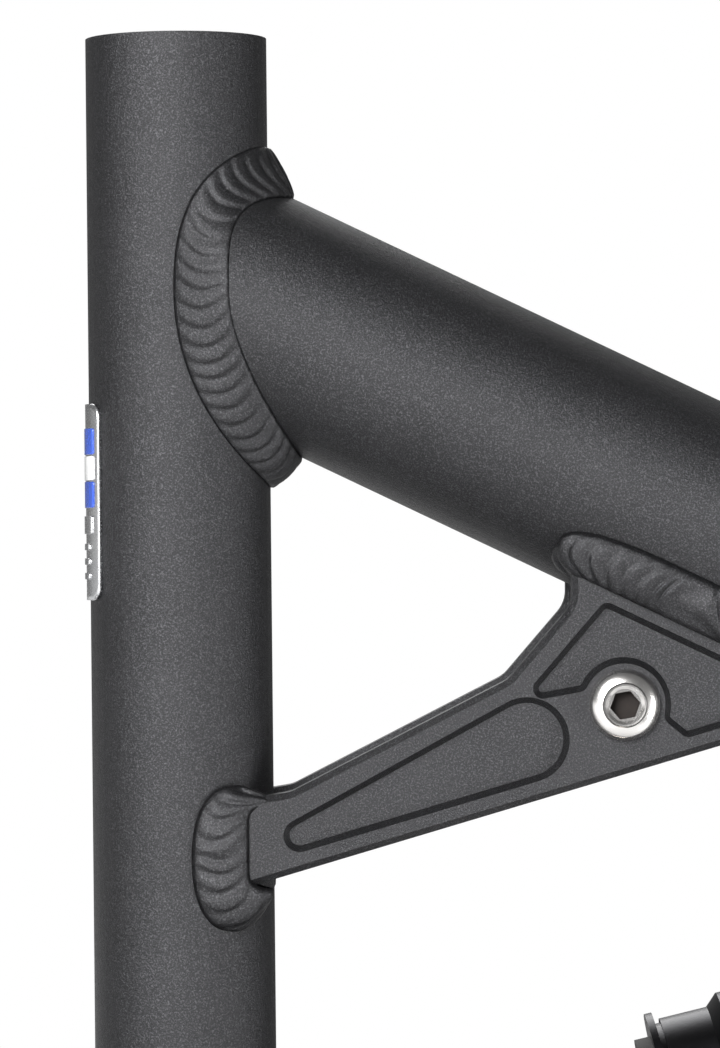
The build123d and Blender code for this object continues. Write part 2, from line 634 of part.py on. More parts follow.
def rebound_knob():
    seat = along((CAN_END + HEAD_BLOCK_END) / 2)
    base = seat + shock_down * (head_block_r + KNOB_GAP)
    cap = rod(base, base + shock_down * KNOB_HEIGHT, KNOB_R)
    for turn in range(KNOB_GRIPS):
        angle = 2 * math.pi * turn / KNOB_GRIPS
        side_step = Vector(0, math.cos(angle), 0) + shock_direction * math.sin(angle)
        groove = base + side_step * (KNOB_R + KNOB_GRIP_R / 2)
        cap -= rod(groove, groove + shock_down * KNOB_HEIGHT, KNOB_GRIP_R)
    stem = rod(seat + shock_down * KNOB_STEM_START, base, KNOB_STEM_R)
    return cap + stem


def wiper_seal():
    return shock_ring(DAMPER_R + WIPER_WALL, DAMPER_R + RUNNING_GAP, CAN_START - WIPER_LENGTH, CAN_START)


def travel_ring():
    return shock_ring(DAMPER_R + TRAVEL_RING_WALL, DAMPER_R, DAMPER_START, DAMPER_START + TRAVEL_RING_WIDTH)


def rear_eye_piece():
    eye = cross_rod(rear_eye, EYE_R, -EYE_WIDTH / 2, EYE_WIDTH / 2)
    neck = rod(rear_eye, along(DAMPER_START), EYE_R - REAR_NECK_STEP)
    return eye + neck - cross_rod(rear_eye, REAR_EYE_BORE_R, -EYE_WIDTH, EYE_WIDTH)


def build_front_triangle():
    save("seat_tube", seat_tube())
    save("head_tube", head_tube())
    save("top_tube", top_tube())
    save("down_tube", down_tube())
    save("bottom_bracket_shell", bottom_bracket_shell())
    save("pivot_shell", pivot_shell())
    plate = gusset_plate()
    save("gusset_plate_right", plate)
    save("gusset_plate_left", mirror(plate, about=Plane.XZ))
    centre = seat_point(GUSSET_BOLT_AT)
    save("gusset_bolt", bolt(centre, gusset_outer))
    save("gusset_nut", nut(centre, gusset_outer))
    save("gusset_spacer", sleeve(centre, GUSSET_SPACER_R, SHOCK_BOLT_R, -gusset_inner, gusset_inner))
    save("seat_tube_badge", badge())
    save("shock_lugs", shock_lugs())
    save("front_shock_bolt", bolt(front_eye, lug_outer))
    save("front_shock_nut", nut(front_eye, lug_outer))
    save("front_shock_spacer",
         sleeve(front_eye, BUSH_BORE_R - RUNNING_GAP, SHOCK_BOLT_R, -lug_inner, lug_inner))
    races = sleeve(pivot, BEARING_R, BEARING_BALL_OUTER_R,
                   PIVOT_SHELL_WIDTH / 2 - BEARING_WIDTH, PIVOT_SHELL_WIDTH / 2)
    save("pivot_bearing_outer_races", both_sides(races))
    save("bottle_bosses", bottle_bosses(BOSS_R) - bottle_bosses(BOSS_THREAD_R))
    welds()


def build_swingarm():
    chain_form, chain_tube = stay(chainstay_points(), CHAINSTAY_R, STAY_WALL)
    seat_stay_form, seat_stay_tube = stay(seatstay_points(), SEATSTAY_R, STAY_WALL)
    forms = [chain_form, seat_stay_form]
    pieces = {"side_arm": side_arm(forms), "chainstay": chain_tube, "seatstay": seat_stay_tube,
              "dropout": dropout(forms)}
    for name, piece in pieces.items():
        save(f"{name}_right", piece)
        save(f"{name}_left", mirror(piece, about=Plane.XZ))
    save("chainstay_bridge", chainstay_bridge(chain_form))
    save("front_bridge", cross_rod(side_point(FRONT_BRIDGE_AT), BRIDGE_R, -arm_inner, arm_inner))
    save("derailleur_hanger", hanger())
    save("brake_tab", brake_tab(seat_stay_form))
    axle_end = arm_outer + AXLE_HEAD_H
    axle_head = cross_rod(pivot, AXLE_HEAD_R, -axle_end, -arm_outer)
    save("main_pivot_axle", cross_rod(pivot, AXLE_R, -arm_outer, axle_end) + axle_head)
    save("main_pivot_nut", sleeve(pivot, AXLE_HEAD_R, AXLE_R, arm_outer, axle_end))
    half = PIVOT_SHELL_WIDTH / 2
    save("pivot_bearing_inner_races",
         both_sides(sleeve(pivot, BEARING_BALL_INNER_R, AXLE_R, half - BEARING_WIDTH, half)))
    save("pivot_spacers", both_sides(sleeve(pivot, BEARING_BALL_INNER_R, AXLE_R, half, arm_inner)))
    save("rear_shock_bolt", bolt(rear_eye, arm_outer))
    save("rear_shock_nut", nut(rear_eye, arm_outer))
    spacer_start = EYE_WIDTH / 2 + REAR_EYE_SIDE_PLAY
    save("rear_shock_spacers",
         both_sides(sleeve(rear_eye, REAR_SPACER_R, SHOCK_BOLT_R, spacer_start, arm_inner)))


def build_shock():
    save("shock_air_can", air_can())
    save("shock_head", shock_head())
    save("front_eye_bushing",
         sleeve(front_eye, FRONT_EYE_BORE_R, BUSH_BORE_R, -EYE_WIDTH / 2, EYE_WIDTH / 2))
    save("shock_wiper_seal", wiper_seal())
    valve = along((CAN_END + HEAD_BLOCK_END) / 2)
    save("air_valve_cap", cross_rod(valve, VALVE_CAP_R, -head_block_r - VALVE_CAP_HEIGHT, -head_block_r))
    save("rebound_knob", rebound_knob())
    save("shock_rear_eye", rear_eye_piece())
    save("damper_tube", shock_ring(DAMPER_R, DAMPER_R - DAMPER_WALL, DAMPER_START, DAMPER_END))
    save("air_piston", shock_ring(can_bore - PISTON_GAP, DAMPER_R, DAMPER_END - PISTON_LENGTH, DAMPER_END))
    save("travel_ring", travel_ring())


build_front_triangle()
build_swingarm()
build_shock()
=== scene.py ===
import json
import math

import bmesh
import bpy
from bpy.props import FloatProperty, FloatVectorProperty, IntProperty, PointerProperty
from mathutils import Matrix, Vector


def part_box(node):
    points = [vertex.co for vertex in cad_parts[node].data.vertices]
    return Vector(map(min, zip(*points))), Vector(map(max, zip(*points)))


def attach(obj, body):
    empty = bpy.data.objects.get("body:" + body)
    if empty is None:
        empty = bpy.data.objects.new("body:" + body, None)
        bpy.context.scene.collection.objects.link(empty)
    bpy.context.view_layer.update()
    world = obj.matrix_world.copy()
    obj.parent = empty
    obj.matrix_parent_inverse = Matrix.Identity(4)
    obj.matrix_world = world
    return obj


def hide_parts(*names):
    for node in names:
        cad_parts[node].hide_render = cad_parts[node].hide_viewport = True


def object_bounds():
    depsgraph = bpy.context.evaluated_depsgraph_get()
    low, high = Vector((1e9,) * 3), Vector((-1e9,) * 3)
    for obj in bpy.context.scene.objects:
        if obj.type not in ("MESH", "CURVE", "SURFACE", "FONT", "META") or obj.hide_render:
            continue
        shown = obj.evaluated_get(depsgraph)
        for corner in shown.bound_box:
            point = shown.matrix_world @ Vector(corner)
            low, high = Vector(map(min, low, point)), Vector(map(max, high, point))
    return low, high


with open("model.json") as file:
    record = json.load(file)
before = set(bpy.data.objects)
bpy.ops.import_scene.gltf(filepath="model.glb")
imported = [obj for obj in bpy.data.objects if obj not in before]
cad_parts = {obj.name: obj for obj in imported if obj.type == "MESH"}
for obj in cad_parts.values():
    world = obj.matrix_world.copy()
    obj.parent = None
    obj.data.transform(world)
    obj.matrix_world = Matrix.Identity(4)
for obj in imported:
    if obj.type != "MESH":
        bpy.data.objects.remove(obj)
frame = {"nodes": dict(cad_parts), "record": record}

bl_info = {
    "name": "Suspension bicycle frame",
    "version": (1, 0, 0),
    "blender": (4, 5, 0),
    "location": "View3D > Sidebar > Frame",
    "description": "Finishes and weld beads for a black alloy bicycle frame",
    "category": "Add Mesh",
}

CAD_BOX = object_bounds()
MM = 0.001

# The seat tube's axis stands at this angle to the ground, and its top is the datum of the joint.
SEAT_ANGLE = math.radians(70)
SEAT_UP = Vector((-math.cos(SEAT_ANGLE), 0, math.sin(SEAT_ANGLE)))
SEAT_FORWARD = Vector((math.sin(SEAT_ANGLE), 0, math.cos(SEAT_ANGLE)))
SEAT_TUBE_LENGTH = 440 * MM
SEAT_TOP = SEAT_UP * SEAT_TUBE_LENGTH
SEAT_R = 17.45 * MM
TOP_TUBE_R = 22.2 * MM
TOP_TUBE_DROP = 44.7 * MM
TOP_TUBE_SLOPE = math.radians(25.9)
TOP_START = SEAT_TOP - SEAT_UP * TOP_TUBE_DROP
TOP_ALONG = SEAT_FORWARD * math.cos(TOP_TUBE_SLOPE) - SEAT_UP * math.sin(TOP_TUBE_SLOPE)
TOP_NORMAL = SEAT_FORWARD * math.sin(TOP_TUBE_SLOPE) + SEAT_UP * math.cos(TOP_TUBE_SLOPE)
ACROSS = Vector((0, -1, 0))
# From the frame's middle plane to the middle of a gusset plate.
GUSSET_SIDE = 14 * MM


# ---------------------------------------------------------------- settings
class FinishSettings(bpy.types.PropertyGroup):
    """Colour, roughness and grain of the blasted black finish, and the badge's colour."""

    alloy: FloatVectorProperty(name="Black alloy", description="Colour of the anodised tubes",
                               subtype="COLOR", size=3, min=0, max=1, default=(0.022, 0.022, 0.0235))
    enamel: FloatVectorProperty(name="Badge enamel", description="Colour of the badge's blue panels",
                                subtype="COLOR", size=3, min=0, max=1, default=(0.02, 0.07, 0.42))
    roughness: FloatProperty(name="Roughness", description="Roughness of the black finish",
                             subtype="FACTOR", min=0, max=1, default=0.37)
    grain: FloatProperty(name="Grain", description="Size of the blasted grain",
                         unit="LENGTH", min=0.00005, max=0.002, default=0.00034)


class WeldSettings(bpy.types.PropertyGroup):
    """Spacing and height of the ripples in a weld bead."""

    pitch: FloatProperty(name="Ripple pitch", description="Distance from one ripple to the next",
                         unit="LENGTH", min=0.001, max=0.01, default=0.0034)
    ripple: FloatProperty(name="Ripple height", description="Height of one ripple's step",
                          unit="LENGTH", min=0, max=0.002, default=0.0005)
    crown: FloatProperty(name="Crown", description="Height of the bead over its flat width",
                         subtype="FACTOR", min=0, max=0.6, default=0.05)


class BoltSettings(bpy.types.PropertyGroup):
    """Sizes of the domed bolts."""

    head_radius: FloatProperty(name="Head radius", description="Outside radius of the head",
                               unit="LENGTH", default=0.0067)
    head_height: FloatProperty(name="Head height", description="Height of the head",
                               unit="LENGTH", default=0.0036)
    key: FloatProperty(name="Key", description="Width of the hexagon across its flats",
                       unit="LENGTH", default=0.005)
    segments: IntProperty(name="Segments", description="Steps round the head", default=96, min=24, max=256)


# ---------------------------------------------------------------- shader maths
class Socket:
    """A value in a material that can be added, subtracted and multiplied like a number."""

    def __init__(self, graph, output):
        self.graph = graph
        self.output = output

    def maths(self, operation, *values):
        return self.graph.node("ShaderNodeMath", {"operation": operation}, list(values))

    def __add__(self, other):
        return self.maths("ADD", self, other)

    def __sub__(self, other):
        return self.maths("SUBTRACT", self, other)

    def __rsub__(self, other):
        return self.maths("SUBTRACT", other, self)

    def __mul__(self, other):
        return self.maths("MULTIPLY", self, other)

    __radd__ = __add__
    __rmul__ = __mul__


class Graph:
    """One material's node tree."""

    def __init__(self, name):
        self.material = bpy.data.materials.new(name)
        self.material.use_nodes = True
        self.tree = self.material.node_tree
        self.shader = self.tree.nodes["Principled BSDF"]
        self.place = self.node("ShaderNodeTexCoord", {}, [], "Object")

    def node(self, kind, settings, values, output=0):
        """Adds any node: its settings first, then the values or links of its sockets."""
        made = self.tree.nodes.new(kind)
        stops = settings.pop("stops", None)
        for key, value in settings.items():
            setattr(made, key, value)
        if stops:
            for index, (position, level) in enumerate(stops):
                ramp = made.color_ramp.elements
                stop = ramp[index] if index < 2 else ramp.new(position)
                stop.position = position
                stop.color = (level, level, level, 1) if isinstance(level, (int, float)) else (*level, 1)
        pairs = values.items() if isinstance(values, dict) else enumerate(values)
        for key, value in pairs:
            self.feed(made.inputs[key], value)
        return Socket(self, made.outputs[output])

    def feed(self, socket, value):
        if isinstance(value, Socket):
            self.tree.links.new(value.output, socket)
        elif isinstance(value, tuple) and len(value) == 3 and socket.type == "RGBA":
            socket.default_value = (*value, 1)
        else:
            socket.default_value = value

    def set(self, **values):
        for key, value in values.items():
            self.feed(self.shader.inputs[key.replace("_", " ")], value)
        return self.material

    def noise(self, size, detail, roughness):
        values = {"Vector": self.place, "Scale": 1 / size, "Detail": detail, "Roughness": roughness}
        return self.node("ShaderNodeTexNoise", {}, values, "Fac")

    def ramp(self, value, *stops):
        return self.node("ShaderNodeValToRGB", {"stops": stops}, [value], "Color")

    def blend(self, factor, first, second):
        """Mixes two colours. The node's sockets share names, so they are given by number."""
        return self.node("ShaderNodeMix", {"data_type": "RGBA"}, {0: factor, 6: first, 7: second}, 2)

    def bump(self, height, distance):
        values = {"Height": height, "Distance": distance, "Strength": 1.0}
        return self.node("ShaderNodeBump", {}, values, "Normal")


def scaled(colour, factor):
    return tuple(min(1.0, channel * factor) for channel in colour)


# ---------------------------------------------------------------- finishes
def blasted_black(name, grain_strength, roughness_shift=0.0):
    """Black anodising over a shot-blasted surface: a fine bumped grain, and painted glints that brighten the
    colour on its brightest grains.
    """
    finish = bpy.context.scene.frame_finish
    graph = Graph(name)
    grain = graph.noise(finish.grain, 3.0, 0.75)
    coarse = graph.noise(finish.grain * 3.2, 2.0, 0.6)
    cloud = graph.noise(0.018, 3.0, 0.55)
    painted_glint = graph.ramp(grain, (0.50, 0.0), (0.68, 1.0))
    base = graph.blend(cloud, scaled(finish.alloy, 0.8), scaled(finish.alloy, 1.2))
    # Painted glints: where the grain noise peaks, the colour is pushed towards five times the alloy's.
    colour = graph.blend(painted_glint * 0.6, base, scaled(finish.alloy, 5.0))
    rough = (finish.roughness + roughness_shift) + (coarse - 0.5) * 0.16 + (cloud - 0.5) * 0.05
    height = grain * 0.65 + coarse * 0.35
    normal = graph.bump(height, 0.00026 * grain_strength)
    return graph.set(Base_Color=colour, Metallic=0.72, Roughness=rough, Normal=normal)


def stainless(name):
    """Bright steel with a faint turned grain."""
    graph = Graph(name)
    scratch = graph.noise(0.00025, 4.0, 0.7)
    mottle = graph.noise(0.004, 2.0, 0.5)
    colour = graph.blend(mottle, (0.60, 0.585, 0.57), (0.78, 0.765, 0.75))
    rough = 0.16 + scratch * 0.12 + mottle * 0.06
    normal = graph.bump(scratch, 0.000006)
    return graph.set(Base_Color=colour, Metallic=1.0, Roughness=rough, Normal=normal)


def socket_shade(name):
    """Painted shade inside a hexagon socket: a dull, dark brown standing in for the shade that falls in the
    recess.
    """
    graph = Graph(name)
    mottle = graph.noise(0.0012, 3.0, 0.6)
    # A mottled dark brown: painted shade, not the steel's own colour.
    colour = graph.blend(mottle, (0.006, 0.004, 0.003), (0.024, 0.016, 0.013))
    return graph.set(Base_Color=colour, Metallic=0.4, Roughness=0.5 + mottle * 0.2)


def plain_metal(name, low, high, roughness):
    """Turned or plated metal that varies softly in tone."""
    graph = Graph(name)
    tone = graph.noise(0.012, 3.0, 0.55)
    fine = graph.noise(0.0006, 3.0, 0.6)
    rough = roughness + (fine - 0.5) * 0.14
    normal = graph.bump(fine, 0.00002)
    return graph.set(Base_Color=graph.blend(tone, low, high), Metallic=1.0, Roughness=rough, Normal=normal)


def rubber(name):
    """Moulded black rubber with a fine matt grain."""
    graph = Graph(name)
    fine = graph.noise(0.0007, 3.0, 0.6)
    colour = graph.blend(fine, (0.012, 0.012, 0.012), (0.032, 0.031, 0.03))
    return graph.set(Base_Color=colour, Roughness=0.62 + fine * 0.16, Normal=graph.bump(fine, 0.00005))


def enamel(name):
    """Glossy coloured enamel under a clear coat."""
    colour = tuple(bpy.context.scene.frame_finish.enamel)
    graph = Graph(name)
    cloud = graph.noise(0.006, 2.0, 0.5)
    tint = graph.blend(cloud, scaled(colour, 0.85), scaled(colour, 1.15))
    return graph.set(Base_Color=tint, Roughness=0.22 + cloud * 0.08, Coat_Weight=0.8)


def white_enamel(name):
    """Glossy white enamel under a clear coat."""
    graph = Graph(name)
    cloud = graph.noise(0.006, 2.0, 0.5)
    tint = graph.blend(cloud, (0.72, 0.73, 0.74), (0.84, 0.84, 0.83))
    return graph.set(Base_Color=tint, Roughness=0.24 + cloud * 0.08, Coat_Weight=0.8)


FINISHES = {
    "black_alloy": lambda: blasted_black("blasted_black_alloy", 1.0),
    "weld_bead": lambda: blasted_black("black_weld_bead", 0.9, -0.03),
    "stainless": lambda: stainless("stainless_steel"),
    "machined_alloy": lambda: plain_metal("turned_alloy", (0.50, 0.50, 0.51), (0.66, 0.66, 0.67), 0.32),
    "badge_metal": lambda: plain_metal("badge_tin", (0.62, 0.63, 0.65), (0.80, 0.80, 0.80), 0.26),
    "shock_black": lambda: plain_metal("shock_anodising", (0.020, 0.020, 0.022), (0.040, 0.040, 0.043), 0.33),
    "shaft_coat": lambda: plain_metal("hard_coated_shaft", (0.42, 0.40, 0.36), (0.55, 0.52, 0.47), 0.14),
    "seal_rubber": lambda: rubber("black_rubber"),
    "bush_bronze": lambda: plain_metal("bush_bronze", (0.38, 0.26, 0.13), (0.56, 0.40, 0.22), 0.36),
    "knob_red": lambda: plain_metal("red_anodising", (0.36, 0.018, 0.015), (0.58, 0.03, 0.025), 0.28),
}


def dress(piece, material):
    piece.data.materials.clear()
    piece.data.materials.append(material)


# ---------------------------------------------------------------- shared mesh work
def finish_piece(name, mesh, material, body, slot, *replaced):
    """Makes an object of a bmesh, smooth shaded with its material, parents it to the body it rides on and
    hides the CAD parts it replaces.
    """
    data = bpy.data.meshes.new(name)
    mesh.to_mesh(data)
    mesh.free()
    piece = bpy.data.objects.new(name, data)
    bpy.context.scene.collection.objects.link(piece)
    for face in data.polygons:
        face.use_smooth = True
    data.materials.append(bpy.data.materials[material])
    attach(piece, body)
    if replaced:
        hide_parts(*replaced)
    return piece


def power(value, exponent):
    """A power that keeps the value's sign."""
    return math.copysign(abs(value) ** exponent, value)


def superellipse(turn, half_width, half_height, squareness):
    """A point on a rounded box outline: turn 0 is its top, a quarter turn its outer side."""
    shape = 2 / squareness
    return half_width * power(math.sin(turn), shape), half_height * power(math.cos(turn), shape)


def on_seat_tube(arc, height):
    """The point and outward normal on the seat tube, by arc from its front and height from its top."""
    angle = arc / SEAT_R
    normal = SEAT_FORWARD * math.cos(angle) + ACROSS * math.sin(angle)
    return SEAT_TOP + SEAT_UP * height + normal * SEAT_R, normal


def on_top_tube(along, angle):
    """The point and outward normal on the top tube, by distance along and angle from its top."""
    normal = TOP_NORMAL * math.cos(angle) + ACROSS * math.sin(angle)
    return TOP_START + TOP_ALONG * along + normal * TOP_TUBE_R, normal


def seat_plane(forward, height, side):
    """The point this far forward of the seat tube's axis, above its top and out to the drive side."""
    return SEAT_TOP + SEAT_FORWARD * forward + SEAT_UP * height + ACROSS * side


def ripple_height(phase, ripple):
    """One ripple's step: a slow, rounded rise and a quick fall, like overlapping coins."""
    fraction = phase % 1.0
    rise = 0.8
    if fraction < rise:
        return ripple * math.sin(fraction / rise * math.pi / 2)
    return ripple * math.cos((fraction - rise) / (1 - rise) * math.pi / 2)


BEAD_SAMPLES = 96
FEWEST_RIPPLES = 6
STEPS_PER_RIPPLE = 9
UNDERSIDE_STEPS = 4
SHORTEST_SPAN = 1e-9
MERGE_DISTANCE = 1e-6
# Two slow waves make the ripples' spacing uneven: the size of each, in ripples, and its rate.
WOBBLES = ((0.14, 0.37), (0.08, 1.13))
# How far a ripple's ends lag behind its middle, in ripples.
RIPPLE_LAG = 0.85
# How sharply the crown and the ripples fall off towards the bead's edges.
CROWN_FALL = 1.25
RIPPLE_FALL = 0.7
# The exponent by which a bead's bulge raises its ripples, and how deep its underside sinks as a share of
# its width.
RIPPLE_BULGE = 0.3
UNDERSIDE_SINK = 0.12


def bead(edge_a, edge_b, across=14, offset=0.0, bulge=1.0):
    """A closed ring of weld between two edge curves, each giving a point and an outward normal.

    offset shifts the ripples along the bead, in ripples, and bulge raises its crown and, less, its ripples.
    """
    settings = bpy.context.scene.frame_welds
    turns = [2 * math.pi * index / BEAD_SAMPLES for index in range(BEAD_SAMPLES + 1)]
    samples = [edge_a(turn)[0].lerp(edge_b(turn)[0], 0.5) for turn in turns]
    lengths = [0.0]
    for first, second in zip(samples, samples[1:]):
        lengths.append(lengths[-1] + (second - first).length)
    ripples = max(FEWEST_RIPPLES, round(lengths[-1] / settings.pitch))
    steps = ripples * STEPS_PER_RIPPLE
    around = across + UNDERSIDE_STEPS

    def turn_at(distance):
        """The turn whose place on the middle line is this far along it."""
        index = next((i for i in range(BEAD_SAMPLES) if lengths[i + 1] >= distance), BEAD_SAMPLES - 1)
        span = max(lengths[index + 1] - lengths[index], SHORTEST_SPAN)
        return 2 * math.pi * (index + (distance - lengths[index]) / span) / BEAD_SAMPLES

    mesh = bmesh.new()
    bmesh.ops.create_grid(mesh, x_segments=steps, y_segments=around, size=0.5)
    cache = {}
    for vertex in mesh.verts:
        along = vertex.co.x + 0.5
        section = (vertex.co.y + 0.5) * around
        key = round(along * steps)
        if key not in cache:
            turn = turn_at(lengths[-1] * (key % steps) / steps)
            cache[key] = (*edge_a(turn), *edge_b(turn))
        point_a, normal_a, point_b, normal_b = cache[key]
        lift = (normal_a + normal_b).normalized()
        width = (point_b - point_a).length
        if section <= across:
            share = section / across
            arch = math.sqrt(max(0.0, 1 - (2 * share - 1) ** 2))
            wobble = sum(size * math.sin(key * rate / STEPS_PER_RIPPLE) for size, rate in WOBBLES)
            phase = key / STEPS_PER_RIPPLE + offset + wobble + RIPPLE_LAG * (2 * share - 1) ** 2
            crown = width * settings.crown * bulge * arch ** CROWN_FALL
            ripple = ripple_height(phase, settings.ripple * bulge ** RIPPLE_BULGE) * arch ** RIPPLE_FALL
            vertex.co = point_a.lerp(point_b, share) + lift * (crown + ripple)
        else:
            share = 1 - (section - across) / UNDERSIDE_STEPS
            sink = math.sin(math.pi * share) * UNDERSIDE_SINK * width
            vertex.co = point_a.lerp(point_b, share) - lift * sink
    bmesh.ops.remove_doubles(mesh, verts=mesh.verts, dist=MERGE_DISTANCE)
    bmesh.ops.recalc_face_normals(mesh, faces=mesh.faces)
    return mesh


def both_sides(mesh):
    """Adds the mirror image across the frame's middle plane."""
    shape = mesh.verts[:] + mesh.edges[:] + mesh.faces[:]
    copy = bmesh.ops.duplicate(mesh, geom=shape)["geom"]
    verts = [item for item in copy if isinstance(item, bmesh.types.BMVert)]
    faces = [item for item in copy if isinstance(item, bmesh.types.BMFace)]
    bmesh.ops.scale(mesh, vec=(1, -1, 1), verts=verts)
    bmesh.ops.reverse_faces(mesh, faces=faces)
    return mesh


# ---------------------------------------------------------------- weld beads at the seat tube
# The outline on the seat tube round the top tube's end: its middle, half width along the skin, and
# the half height and squareness of its upper and lower halves.
SEAT_JOINT_DROP = 50 * MM
SEAT_JOINT_HALF = 27.7 * MM
SEAT_JOINT_UPPER = (29 * MM, 2.6)
SEAT_JOINT_LOWER = (36.5 * MM, 1.9)
# The outline on the top tube, in millimetres forward of the seat tube's axis: at its sides, and how much
# further it reaches over the top and underneath, with the exponent of each rise.
TOP_EDGE_SIDE = 10.4
TOP_EDGE_OVER = (12.0, 3.8)
TOP_EDGE_UNDER = (13.2, 1.9)
# The gusset's foot: half sizes and squareness of its outlines on the seat tube and round the plate.
FOOT_OUTLINE = (7.9 * MM, 13.7 * MM, 2.3)
FOOT_ARC = 17.4 * MM
FOOT_DROP = 157 * MM
PLATE_HALF = 3.35 * MM
PLATE_FOOT_HALF = 8.1 * MM
PLATE_FOOT_SQUARENESS = 5
PLATE_FOOT_DROP = 154.7 * MM
# How far forward the bead's edge stands on the plate, in millimetres: at its sides, and more at its ends.
PLATE_FOOT_REACH = 13.0
PLATE_FOOT_RISE = 4.5
# The gusset's crown, under the top tube: how far its middle is forward of the seat tube's axis and below
# the top tube's start, and its half length.
CROWN_MIDDLE = 97.0 * MM
CROWN_DROP = 63 * MM
CROWN_HALF = 24.5 * MM
CROWN_SPREAD = math.radians(20)
CROWN_MARGIN = 2.5 * MM
CROWN_SQUARENESS = 3.2
# The bead's middle round the top tube, from the tube's top.
CROWN_ROUND = math.pi - math.radians(42)
PLATE_CROWN_INSET = 1.5 * MM
PLATE_CROWN_SQUARENESS = 7
# The top tube's skin at the plate's outer face, carried back to the seat tube's axis, is this far below the
# seat tube's top. The bead's edge on the plate is a leg further down.
SKIN_DROP = 60.6 * MM
PLATE_CROWN_LEG = 6.6 * MM


def seat_joint_on_seat(turn):
    half_height, squareness = SEAT_JOINT_UPPER if math.cos(turn) > 0 else SEAT_JOINT_LOWER
    arc, height = superellipse(turn, SEAT_JOINT_HALF, half_height, squareness)
    return on_seat_tube(arc, height - SEAT_JOINT_DROP)


def seat_joint_on_top_tube(turn):
    share = math.cos(turn)
    further, exponent = TOP_EDGE_OVER if share > 0 else TOP_EDGE_UNDER
    forward = (TOP_EDGE_SIDE + further * abs(share) ** exponent) * MM
    rise = TOP_TUBE_R * share
    along = (forward - rise * math.sin(TOP_TUBE_SLOPE)) / math.cos(TOP_TUBE_SLOPE)
    return on_top_tube(along, turn)


def gusset_foot_on_seat(turn):
    arc, height = superellipse(turn, *FOOT_OUTLINE)
    return on_seat_tube(FOOT_ARC + arc, height - FOOT_DROP)


def gusset_foot_on_plate(turn):
    side, height = superellipse(turn, PLATE_HALF, PLATE_FOOT_HALF, PLATE_FOOT_SQUARENESS)
    forward = (PLATE_FOOT_REACH + PLATE_FOOT_RISE * math.cos(turn) ** 4) * MM
    normal = ACROSS * math.sin(turn) * 0.9 + SEAT_UP * math.cos(turn) * 0.7 + SEAT_FORWARD * 0.15
    return seat_plane(forward, height - PLATE_FOOT_DROP, GUSSET_SIDE + side), normal.normalized()


def gusset_crown_on_tube(turn):
    """Round the plate's footprint on the top tube: turn 0 points forward, a quarter turn outward."""
    side, along = superellipse(turn, CROWN_SPREAD, CROWN_HALF + CROWN_MARGIN, CROWN_SQUARENESS)
    centre = CROWN_MIDDLE * math.cos(TOP_TUBE_SLOPE) + CROWN_DROP * math.sin(TOP_TUBE_SLOPE)
    return on_top_tube(centre + along, CROWN_ROUND - side)


def gusset_crown_on_plate(turn):
    side, along = superellipse(turn, PLATE_HALF, CROWN_HALF - PLATE_CROWN_INSET, PLATE_CROWN_SQUARENESS)
    forward = CROWN_MIDDLE + along * math.cos(TOP_TUBE_SLOPE)
    height = -SKIN_DROP - math.tan(TOP_TUBE_SLOPE) * forward - PLATE_CROWN_LEG
    normal = ACROSS * math.sin(turn) - TOP_NORMAL * 0.25 + TOP_ALONG * math.cos(turn) * 0.6
    return seat_plane(forward, height, GUSSET_SIDE + side), normal.normalized()


# ---------------------------------------------------------------- weld beads where a tube meets a cross tube
DOWN_TUBE_R = 25.4 * MM
HEAD_TUBE_R = 25.0 * MM
SHELL_R = 20.5 * MM
JOINT_LEG = 3.2 * MM
HEAD_ANGLE = math.radians(67)
HEAD_DOWN = Vector((math.cos(HEAD_ANGLE), 0, -math.sin(HEAD_ANGLE)))
HEAD_TOP = Vector((405 * MM, 0, 585 * MM))
TOP_TUBE_AT_HEAD = HEAD_TOP + HEAD_DOWN * 40 * MM
DOWN_TUBE_AT_HEAD = HEAD_TOP + HEAD_DOWN * 81 * MM
TOP_TUBE_CORNER = TOP_START + TOP_ALONG * 230 * MM
SHELL_CENTRE = Vector((0, 0, 0))


def tube_joint(start, end, radius, axis, barrel):
    """The two edges of a bead round a tube that leaves a barrel at start and runs to end."""
    along = (end - start).normalized()
    upright = along.cross(ACROSS)

    def leave(normal, tube_radius, barrel_radius):
        """How far along the tube this line of its surface leaves the barrel: a quadratic's larger root."""
        offset = normal * tube_radius
        flat_offset = offset - axis * offset.dot(axis)
        flat_along = along - axis * along.dot(axis)
        a = flat_along.length_squared
        b = flat_offset.dot(flat_along)
        c = flat_offset.length_squared - barrel_radius ** 2
        return (math.sqrt(max(0.0, b * b - a * c)) - b) / a

    def on_tube(turn):
        normal = upright * math.cos(turn) + ACROSS * math.sin(turn)
        return start + normal * radius + along * leave(normal, radius, barrel + JOINT_LEG), normal

    def on_barrel(turn):
        normal = upright * math.cos(turn) + ACROSS * math.sin(turn)
        wide = radius + JOINT_LEG
        reach = normal * wide + along * leave(normal, wide, barrel)
        axial = axis * reach.dot(axis)
        out = (reach - axial).normalized()
        return start + axial + out * barrel, out

    return on_tube, on_barrel


